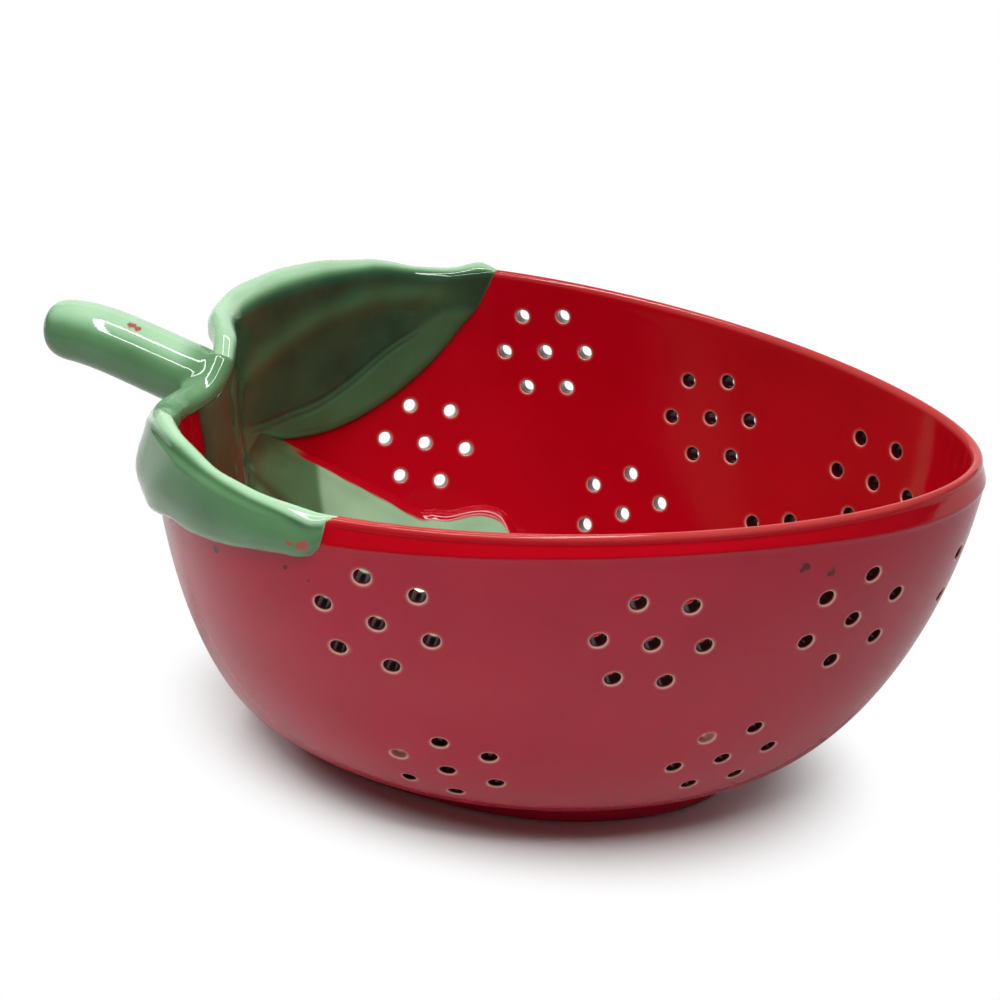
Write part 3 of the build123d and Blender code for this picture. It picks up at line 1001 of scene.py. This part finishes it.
def front_lift(length, drop, from_edge):
    """The leaf in front: a pale folded crest, a score beside it and a flap that bulges towards the stem."""
    score_drop = through(FRONT_SCORE, length)
    hem_drop = np.minimum(through(FRONT_HEM, length), score_drop - LEAST_FLAP)
    down = np.clip((score_drop - drop) / (score_drop - hem_drop), 0, 1)
    flap = through(FRONT_FLAP, length) * through(FLAP_SHAPE, down)
    crest = through(FRONT_CREST, length) * bump(drop, *FRONT_CREST_BUMP)
    score = bump(drop, score_drop, FRONT_SCORE_WIDTH)
    score = score * fades_in(length, *FRONT_SCORE_FROM) * fades_out(length, *FRONT_SCORE_TO)
    height = (flap**MEETING + crest**MEETING) ** (1 / MEETING) - FRONT_SCORE_DEPTH * score
    band = fades_in(drop, score_drop, FRONT_BAND_RUN)
    shade = bump(down, *FRONT_SHADE_DOWN) * bump(length, *FRONT_SHADE_LENGTH)
    tip = fades_in(length, *FRONT_TIP_FROM) * (1 - band)
    thin = FRONT_THIN["field"] + FRONT_THIN["band"] * band - FRONT_THIN["score"] * score
    thin = thin - FRONT_THIN["shade"] * shade - FRONT_THIN["tip"] * tip
    return height, np.maximum(thin, FRONT_THIN["edge"] - FRONT_EDGE_FADE * from_edge)


FRONT_ENDS, FRONT_COLUMNS = (-276, -183.8), 220
front_lengths = np.linspace(*FRONT_ENDS, FRONT_COLUMNS)
wall_leaf(
    "leaf_in_front", front_lengths, through(FRONT_IN, front_lengths), through(FRONT_HEM, front_lengths),
    front_lift, "front_leaf",
)


# Centre leaf: rows down the end wall, fanned round the bend at its foot, then along the floor.
# Each row is a line in the plane of the stem; its points lie where that line, moved aside, meets the skin.

# The inner skin as a table: reach from the middle of the floor and height, by climb up the wall and angle.
POLAR_LEVELS = 121
POLAR_STEPS = 720
POLAR_STATIONS = 2401
JUST_BELOW_LIP = 0.9999
polar_angles = np.linspace(-np.pi, np.pi, POLAR_STEPS + 1)
ring_stations = np.linspace(-3, 3, POLAR_STATIONS)
polar_reach = []
polar_height = []
for climb in np.linspace(0, 1, POLAR_LEVELS):
    ring = skin(ring_stations, np.full(ring_stations.shape, 1 + climb * JUST_BELOW_LIP))
    reach = np.hypot(ring[:, 0] - FLOOR_MIDDLE[0], ring[:, 1])
    angle = np.arctan2(ring[:, 1], ring[:, 0] - FLOOR_MIDDLE[0])
    order = np.argsort(angle)
    polar_reach.append(np.interp(polar_angles, angle[order], reach[order], period=2 * np.pi))
    polar_height.append(np.interp(polar_angles, angle[order], ring[order, 2], period=2 * np.pi))
polar_reach = np.array(polar_reach)
polar_height = np.array(polar_height)


def at_level(table, level):
    """One value of a table for each place, at its level."""
    return np.take_along_axis(table, level[..., None], -1)[..., 0]


def inner_height(x, y):
    """The height of the inner skin above a place; far above the rim outside it."""
    reach = np.hypot(x - FLOOR_MIDDLE[0], y)
    angle = np.arctan2(y, x - FLOOR_MIDDLE[0])
    spot = (angle + np.pi) / (2 * np.pi) * POLAR_STEPS
    k = np.clip(np.floor(spot).astype(int), 0, POLAR_STEPS - 1)
    f = (spot - k)[..., None]
    radii = polar_reach.T[k] * (1 - f) + polar_reach.T[k + 1] * f
    tops = polar_height.T[k] * (1 - f) + polar_height.T[k + 1] * f
    level = np.sum(radii <= reach[..., None], -1)
    low = np.clip(level - 1, 0, POLAR_LEVELS - 2)
    r0, r1 = at_level(radii, low), at_level(radii, low + 1)
    h0, h1 = at_level(tops, low), at_level(tops, low + 1)
    g = np.clip((reach - r0) / np.maximum(r1 - r0, 1e-9), 0, None)
    return np.where(level == 0, FLOOR_HEIGHT, h0 + (h1 - h0) * g)


# Rows: the middle of the fan, the leaf's two ends, and how many rows each stretch has.
FAN_X, FAN_Z = -30.0, 62.0
LEAF_TOP = 112.0
LEAF_TIP = 43.6
WALL_STRETCH, FAN_STRETCH, FLOOR_STRETCH = 60, 60, 70
leaf_rows = []
for z in np.linspace(LEAF_TOP, FAN_Z, WALL_STRETCH, endpoint=False):
    leaf_rows.append((FAN_X, z, -1.0, 0.0, z - FAN_Z))
for turn in np.linspace(0, 90, FAN_STRETCH, endpoint=False):
    leaf_rows.append((FAN_X, FAN_Z, -math.cos(math.radians(turn)), -math.sin(math.radians(turn)), -turn))
for x in np.linspace(FAN_X, LEAF_TIP, FLOOR_STRETCH):
    leaf_rows.append((x, FAN_Z, 0.0, -1.0, -90 - (x - FAN_X)))
row_x, row_z, way_x, way_z, row_marks = [np.array(values) for values in zip(*leaf_rows)]

# Half widths of the leaf at its rows: heights above the fan, degrees of the fan, then along the floor.
# Its two sides are alike on the floor and round the bend, and differ on the wall.
LOW_EDGE = [
    (-164, 0.6), (-160, 12), (-152, 24), (-142, 38), (-130, 51), (-120, 60), (-114, 63.6), (-108, 64.2),
    (-101, 62.8), (-95, 60.6), (-85, 58.4), (-72, 57.5), (-48, 55.9), (-24, 52.2),
]
FAR_EDGE = LOW_EDGE + [(-6, 46.4), (0, 43.0), (9, 37), (18, 32.5), (30, 27), (44, 22)]
NEAR_EDGE = [(mark, -half) for mark, half in LOW_EDGE]
NEAR_EDGE += [(-6, -45), (0, -38), (9, -25.5), (18, -18), (27, -14), (50, -14)]
ACROSS = 140

# A rim of red glaze goes round the leaf: its width, and the rows and runs over which it starts and ends.
RED_RIM = 3.4
RED_RIM_FROM = (-164, 20)
RED_RIM_TO = (12, 16)
rim_share = fades_out(row_marks, *RED_RIM_TO) * fades_in(row_marks, *RED_RIM_FROM)
far_edge = through(FAR_EDGE, row_marks) + RED_RIM * rim_share
near_edge = through(NEAR_EDGE, row_marks) - RED_RIM * rim_share
share = 0.5 - 0.5 * np.cos(np.linspace(0, np.pi, ACROSS))
leaf_y = near_edge[:, None] + (far_edge - near_edge)[:, None] * share

# The leaf stays clear of the lip, and meets the skin where its lines do, found by halving their reach.
LIP_GAP = 0.6
FARTHEST = 120.0
HALVINGS = 40
under_lip = np.minimum(LEAF_TOP, LIP_BASE - LIP_GAP - through(RIM_DIP, leaf_y))
above_fan = np.clip((row_z - FAN_Z) / (LEAF_TOP - FAN_Z), 0, 1)[:, None]
start_z = FAN_Z + above_fan * (under_lip - FAN_Z)
near_reach = np.zeros(leaf_y.shape)
far_reach = np.full(leaf_y.shape, FARTHEST)
for _ in range(HALVINGS):
    middle = (near_reach + far_reach) / 2
    x = row_x[:, None] + middle * way_x[:, None]
    z = start_z + middle * way_z[:, None]
    clear = z > inner_height(x, leaf_y)
    near_reach = np.where(clear, middle, near_reach)
    far_reach = np.where(clear, far_reach, middle)
leaf_x = row_x[:, None] + near_reach * way_x[:, None]
leaf_z = start_z + near_reach * way_z[:, None]
leaf_base = np.stack([leaf_x, leaf_y, leaf_z], -1)
by_row = np.gradient(leaf_base, axis=0)
by_column = np.gradient(leaf_base, axis=1)
leaf_normal = np.cross(by_row, by_column)
leaf_normal /= np.linalg.norm(leaf_normal, axis=-1, keepdims=True)
from_near = np.cumsum(np.linalg.norm(by_column, axis=-1), 1)
from_far = from_near[:, -1:] - from_near
downward = np.cumsum(np.linalg.norm(by_row, axis=-1), 0)
leaf_edge = np.minimum(np.minimum(from_near, from_far), downward[-1:] - downward)

# A fold runs down the leaf: places across the bowl at its rows.
FOLD = [
    (-164, 0), (-130, 8), (-100, 22), (-70, 31), (-40, 34), (-9.4, 29.1), (5.4, 19), (14, 8), (23.3, -0.3),
    (34.7, -2.7), (44, -3),
]

# The fold and the neck on its near side, both painted darker as shade, and the tuck and the dark patch on its
# far side start at a row and beside the fold, each over a run.
FOLD_FROM = (-150, 60)
NECK_FROM, NECK_BESIDE = (-10, 30), (2, 6)
TUCK_FROM, TUCK_BESIDE = (-12, 16), (4, 8)
DARK_FROM, DARK_BESIDE = (2, 10), (1, 3)

# Painted light, a paler part as if lit, begins at the higher of two slanting lines: a row, rows per
# millimetre and a half width. Above it the leaf keeps a darker colour, as in shade.
PAINTED_LIGHT_LINES = ((-8.9, 5.7, 45.9), (-36, 0.25, 41))
PAINTED_LIGHT_RUN = 12

# Heights in millimetres: the body swells towards the floor and has a bead along its edge.
BODY = 1.1
SWELL, SWELL_TO = 1.5, (10, 40)
BEAD, BEAD_BUMP = 0.5, (4, 3.0)
FOLD_DEPTH, FOLD_WIDTH = 0.5, 2.0
TUCK_DEPTH = 0.9
LEAST_HEIGHT = 0.5
TOP_ROLL = 8.0

# How pale the glaze is, painted lighter on the lower part and painted darker as shade at the neck and along
# the fold; how much brown, painted shade with the red mirrored in it, lies there; and where the red rim ends,
# softly.
CENTRE_THIN = {"wall": 0.42, "floor": 0.5, "fold": 0.16, "shaded_neck": 0.14, "dark": 0.32}
CENTRE_BROWN_SHADE = {"shaded_neck": 0.5, "fold": 0.2}
RED_EDGE = 0.6
RED_TOP = (6, 6)

down_rows = np.broadcast_to(row_marks[:, None], leaf_y.shape)
from_fold = leaf_y - through(FOLD, row_marks)[:, None]
fold = bump(from_fold, 0, FOLD_WIDTH) * fades_in(down_rows, *FOLD_FROM)
shaded_neck = fades_in(down_rows, *NECK_FROM) * fades_out(from_fold, *NECK_BESIDE)
tuck = fades_in(down_rows, *TUCK_FROM) * fades_in(from_fold, *TUCK_BESIDE)
dark_patch = fades_in(from_fold, *DARK_BESIDE) * fades_in(down_rows, *DARK_FROM)
painted_light_from = np.max([row - slope * (half - np.abs(leaf_y)) for row, slope, half in PAINTED_LIGHT_LINES], axis=0)
# Painted light: paler down the bend and along the floor, past a sharp edge as of a shadow.
painted_light_part = fades_out(down_rows, painted_light_from + PAINTED_LIGHT_RUN / 2, PAINTED_LIGHT_RUN)
leaf_height = BODY + SWELL * fades_out(down_rows, *SWELL_TO) + BEAD * bump(leaf_edge, *BEAD_BUMP)
leaf_height = leaf_height - FOLD_DEPTH * fold - TUCK_DEPTH * tuck + uneven(downward, leaf_y)
leaf_height = np.maximum(leaf_height, LEAST_HEIGHT)
leaf_height = leaf_height * rolled(leaf_edge, LEAF_ROLL) * rolled(downward, TOP_ROLL)
leaf_thin = CENTRE_THIN["wall"] + CENTRE_THIN["floor"] * painted_light_part - CENTRE_THIN["fold"] * fold
leaf_thin = leaf_thin - CENTRE_THIN["shaded_neck"] * shaded_neck - CENTRE_THIN["dark"] * dark_patch
# Painted shade: brown at the neck and along the fold on the wall.
leaf_brown_shade = CENTRE_BROWN_SHADE["shaded_neck"] * shaded_neck + CENTRE_BROWN_SHADE["fold"] * fold * (1 - painted_light_part)
in_from_rim = leaf_edge - RED_RIM * rim_share[:, None]
leaf_red = (1 - ease(in_from_rim / RED_EDGE)) * fades_out(down_rows, *RED_TOP)
leaf_top = leaf_base + leaf_normal * leaf_height[..., None]
centre_points, centre_faces = closed_sheet(leaf_top, leaf_base - leaf_normal * SEAT)
make_piece(
    "leaf_on_floor", centre_points, centre_faces, LEAF_GREEN, "centre_leaf",
    {
        mark: np.tile(np.clip(values, 0, 1).ravel(), 2)
        for mark, values in (("thin", leaf_thin), ("painted_brown_shade", leaf_brown_shade), ("red", leaf_red))
    },
)


# Stem and collar, modelled as one soft lump of clay

# Stem: heights and radii of its line at places along the bowl, and its sections, close together at both ends.
STEM_LINE = [
    (-132, 115.2), (-126, 115.3), (-117.6, 114.6), (-111, 113.1), (-105, 111.3), (-99.6, 109.6), (-90, 106.6),
    (-84, 105.0), (-78.4, 104.0),
]
STEM_RADIUS = [
    (-132, 0.5), (-131.8, 3.3), (-131.2, 5.3), (-130, 7.0), (-128, 8.2), (-125.5, 8.8), (-122, 9.0),
    (-117.6, 9.2), (-105, 9.4), (-92, 9.5), (-86, 9.4), (-82.5, 8.6), (-80.2, 7.0), (-79, 4.8), (-78.4, 0.6),
]
STEM_STRETCHES = ((-132, -126, 26), (-125, -84, 42), (-83.5, -78.4, 20))
STEM_SIDES = 48

# Collar: lengths along the rim at which it starts behind and ends in front, half its width and height, how
# deep it sinks in and how far it stands out, a little more at the notch and less at its front end.
COLLAR_FROM, COLLAR_TO = 308, -268
COLLAR_SECTIONS = (3, 70)
COLLAR_HALF = (4.6, 3.7)
COLLAR_SIDES = 36
COLLAR_SINK = 1.3
COLLAR_OUT = 1.0
NOTCH_OUT, NOTCH_REACH = 0.2, (4, 14)
END_IN, END_FROM = 1.6, (22, 16)

# Its sections swell a little at the back end and thin out at the front end: a share, and a count.
BACK_END, BACK_END_COUNT = 1.05, 24
FRONT_END, FRONT_END_COUNT = 0.35, 16

# The clay is grown together in voxels of this size, and smoothed in rounds.
CLAY_VOXEL = 0.8
CLAY_SMOOTHING = 0.5
CLAY_ROUNDS = 16

# The glaze breaks pale on top, most on the stem, and the top is also painted paler as light and sheen from
# above: shares, where the stem begins and what counts as the top.
STEM_THIN = {"side": 0.44, "top": 0.12, "stem_top": 0.38}
STEM_FROM = (-84, 8)
THIN_AND_LIT_TOP_FROM = (0.35, 0.6)


def lump(tubes, voxel, rounds):
    """Tubes grown together into one closed skin and smoothed where they join: points, normals and faces."""
    points = []
    faces = []
    count = 0
    for tube_points, tube_faces in tubes:
        faces += [[i + count for i in face] for face in tube_faces]
        points.append(tube_points)
        count += len(tube_points)
    rough = bpy.data.meshes.new("rough_lump")
    rough.from_pydata((np.concatenate(points) * MM).tolist(), [], faces)
    face_outwards(rough)
    holder = bpy.data.objects.new("rough_lump", rough)
    bpy.context.scene.collection.objects.link(holder)
    grown = holder.modifiers.new("grown", "REMESH")
    grown.mode = "VOXEL"
    grown.voxel_size = voxel * MM
    soft = holder.modifiers.new("soft", "SMOOTH")
    soft.factor = CLAY_SMOOTHING
    soft.iterations = rounds
    graph = bpy.context.evaluated_depsgraph_get()
    result = holder.evaluated_get(graph).to_mesh()
    grown_points = np.array([v.co[:] for v in result.vertices]) / MM
    grown_normals = np.array([v.normal[:] for v in result.vertices])
    grown_faces = [list(p.vertices) for p in result.polygons]
    bpy.data.objects.remove(holder)
    bpy.data.meshes.remove(rough)
    return grown_points, grown_normals, grown_faces


stem_x = np.concatenate([np.linspace(first, last, count) for first, last, count in STEM_STRETCHES])
stem_radius = through(STEM_RADIUS, stem_x)
stem_line = np.column_stack([stem_x, np.zeros_like(stem_x), through(STEM_LINE, stem_x)])
stem_tube = tube(stem_line, stem_radius, stem_radius, STEM_SIDES)
collar_lengths = np.concatenate(
    [
        np.linspace(COLLAR_FROM, HALF_RIM, COLLAR_SECTIONS[0], endpoint=False),
        np.linspace(-HALF_RIM, COLLAR_TO, COLLAR_SECTIONS[1]),
    ]
)
collar_stations = station_at(collar_lengths)
collar_line = skin(collar_stations, CREST)
from_notch = np.minimum(np.abs(collar_lengths - HALF_RIM), np.abs(collar_lengths + HALF_RIM))
collar_out = COLLAR_OUT + NOTCH_OUT * (1 - fades_in(from_notch, *NOTCH_REACH))
collar_out = collar_out - END_IN * fades_in(from_notch, *END_FROM)
collar_line[:, :2] += collar_out[:, None] * along_outline(RIM_OUT, collar_stations)
collar_line[:, 2] -= COLLAR_SINK
taper = np.ones(len(collar_lengths))
taper[:BACK_END_COUNT] = np.linspace(BACK_END, 1, BACK_END_COUNT)
taper[-FRONT_END_COUNT:] = np.linspace(1, FRONT_END, FRONT_END_COUNT)
collar_tube = tube(collar_line, COLLAR_HALF[0] * taper, COLLAR_HALF[1] * taper, COLLAR_SIDES)
stem_points, stem_normals, stem_faces = lump([stem_tube, collar_tube], CLAY_VOXEL, CLAY_ROUNDS)
on_stem = fades_out(stem_points[:, 0], *STEM_FROM)
# Painted light: upward faces are paler, as lit from above, besides the glaze breaking there.
thin_and_lit_top = fades_in(stem_normals[:, 2], *THIN_AND_LIT_TOP_FROM)
stem_thin = STEM_THIN["side"] + (STEM_THIN["top"] + STEM_THIN["stem_top"] * on_stem) * thin_and_lit_top
make_piece(
    "stem_and_collar", stem_points, stem_faces, STEM_GREEN, "stem_handle",
    {"thin": stem_thin},
)


# Camera at the place and tilt from which the bowl was seen

CAMERA_PLACE = (78.14, -395.05, 300.70)
CAMERA_RIGHT = (0.974634, 0.215663, 0.059818)
CAMERA_UP = (-0.154760, 0.456360, 0.876233)
CAMERA_LENS = 57.587
CAMERA_SENSOR = 36.0
CAMERA_CLIP = 0.01
camera = bpy.data.objects.new("camera", bpy.data.cameras.new("camera"))
camera.data.lens = CAMERA_LENS
camera.data.sensor_width = CAMERA_SENSOR
right, up = Vector(CAMERA_RIGHT), Vector(CAMERA_UP)
turn = Matrix((right, up, right.cross(up))).transposed()
camera.matrix_world = Matrix.Translation(Vector(CAMERA_PLACE) * MM) @ turn.to_4x4()
camera.data.clip_start = CAMERA_CLIP
bpy.context.scene.collection.objects.link(camera)
bpy.context.scene.camera = camera


# Studio: soft lamps, a dim surround and a white paper sweep

def lamp(name, place, aim, size, power, mirrored=True):
    """A soft lamp that shines from a place at an aim, and shows in the glaze where mirrored."""
    light = bpy.data.lights.new(name, "AREA")
    light.shape = "RECTANGLE"
    light.size, light.size_y = size[0] * MM, size[1] * MM
    light.energy = power
    holder = bpy.data.objects.new(name, light)
    holder.location = Vector(place) * MM
    holder.rotation_euler = (Vector(aim) - Vector(place)).to_track_quat("-Z", "Y").to_euler()
    holder.visible_glossy = mirrored
    bpy.context.scene.collection.objects.link(holder)


# A square ring of strips above and in front, as in a light tent, and its two glowing side walls.
RING_MIDDLE = (-20.0, -170.0, 520.0)
RING_HALF = 160.0
STRIP = (320.0, 42.0)
STRIP_POWER = 0.88
TENT_WALL = (400.0, 500.0)
TENT_AIM = (0, 0, 80)
TENT_LEFT, TENT_LEFT_POWER = (-620, 420, 280), 1.8
TENT_RIGHT, TENT_RIGHT_POWER = (600, 420, 280), 0.9
ring_x, ring_y, ring_z = RING_MIDDLE
for label, along_x, along_y, size in (
    ("near", 0, -1, STRIP), ("far", 0, 1, STRIP), ("left", -1, 0, STRIP[::-1]), ("right", 1, 0, STRIP[::-1]),
):
    spot = (ring_x + along_x * RING_HALF, ring_y + along_y * RING_HALF, ring_z)
    lamp("ring_strip_" + label, spot, (spot[0], spot[1], 0), size, STRIP_POWER)
lamp("tent_wall_left", TENT_LEFT, TENT_AIM, TENT_WALL, TENT_LEFT_POWER, mirrored=False)
lamp("tent_wall_right", TENT_RIGHT, TENT_AIM, TENT_WALL, TENT_RIGHT_POWER, mirrored=False)

SURROUND = 0.07
world = bpy.data.worlds.new("dim_surround")
bpy.context.scene.world = world
world.use_nodes = True
sky = world.node_tree
sky.nodes.clear()
dim = node(sky, "ShaderNodeBackground", None, {"Color": tint("FFFFFF"), "Strength": SURROUND})
node(sky, "ShaderNodeOutputWorld", None, {"Surface": dim.outputs[0]})

# White paper floor with a back wall, in metres. It keeps the shadow in an oval round the bowl's foot and is
# plain white beyond it. The glaze mirrors that white from farther off and from behind alone.
FLOOR_REACH = 4.0
SHADOW_MIDDLE = (12.0 * MM, 4.0 * MM, 0)
SHADOW_HALF = (112.0 * MM, 70.0 * MM, 1)
SHADOW_FADE = (0.66, 1.04)
MIRROR_FADE = (1.6, 4.0)
BEHIND_FADE = (-0.1, 0.3)
floor_mesh = bpy.data.meshes.new("floor")
corners = [(-1, -1, 0), (1, -1, 0), (1, 1, 0), (-1, 1, 0), (1, 1, 1), (-1, 1, 1)]
sweep = [(x * FLOOR_REACH, y * FLOOR_REACH, z * FLOOR_REACH) for x, y, z in corners]
floor_mesh.from_pydata(sweep, [], [(0, 1, 2, 3), (3, 2, 4, 5)])
floor = bpy.data.objects.new("floor", floor_mesh)
bpy.context.scene.collection.objects.link(floor)
floor_paper, tree = new_material("white_paper_sweep")
larger = {"operation": "MAXIMUM"}
times = {"operation": "MULTIPLY"}
rays = node(tree, "ShaderNodeLightPath").outputs
seen = node(tree, "ShaderNodeMath", larger, {0: rays["Is Camera Ray"], 1: rays["Is Transmission Ray"]})
place = node(tree, "ShaderNodeTexCoord").outputs["Object"]
inward = node(tree, "ShaderNodeVectorMath", {"operation": "SUBTRACT"}, {0: place, 1: SHADOW_MIDDLE})
spread = node(tree, "ShaderNodeVectorMath", {"operation": "DIVIDE"}, {0: inward.outputs[0], 1: SHADOW_HALF})
away = node(tree, "ShaderNodeVectorMath", {"operation": "LENGTH"}, {0: spread.outputs[0]})
across = node(tree, "ShaderNodeSeparateXYZ", None, {"Vector": place})
fade, far, behind = [
    node(
        tree, "ShaderNodeMapRange", {"interpolation_type": "SMOOTHSTEP"},
        {"Value": measure, "From Min": first, "From Max": last},
    ).outputs[0]
    for measure, (first, last) in (
        (away.outputs["Value"], SHADOW_FADE),
        (away.outputs["Value"], MIRROR_FADE),
        (across.outputs["Y"], BEHIND_FADE),
    )
]
lit = node(tree, "ShaderNodeMath", times, {0: far, 1: behind})
plain = node(tree, "ShaderNodeMath", times, {0: fade, 1: seen.outputs[0]})
mirrored = node(tree, "ShaderNodeMath", times, {0: lit.outputs[0], 1: rays["Is Glossy Ray"]})
bare = node(tree, "ShaderNodeMath", larger, {0: plain.outputs[0], 1: mirrored.outputs[0]})
matt = node(tree, "ShaderNodeBsdfDiffuse", None, {"Color": tint("EFEFEF")})
white = node(tree, "ShaderNodeEmission", None, {"Color": tint("FFFFFF"), "Strength": 1.0})
both = node(tree, "ShaderNodeMixShader", None, {0: bare.outputs[0], 1: matt.outputs[0], 2: white.outputs[0]})
node(tree, "ShaderNodeOutputMaterial", None, {"Surface": both.outputs[0]})
floor_mesh.materials.append(floor_paper)

bpy.context.scene.view_settings.view_transform = "Standard"
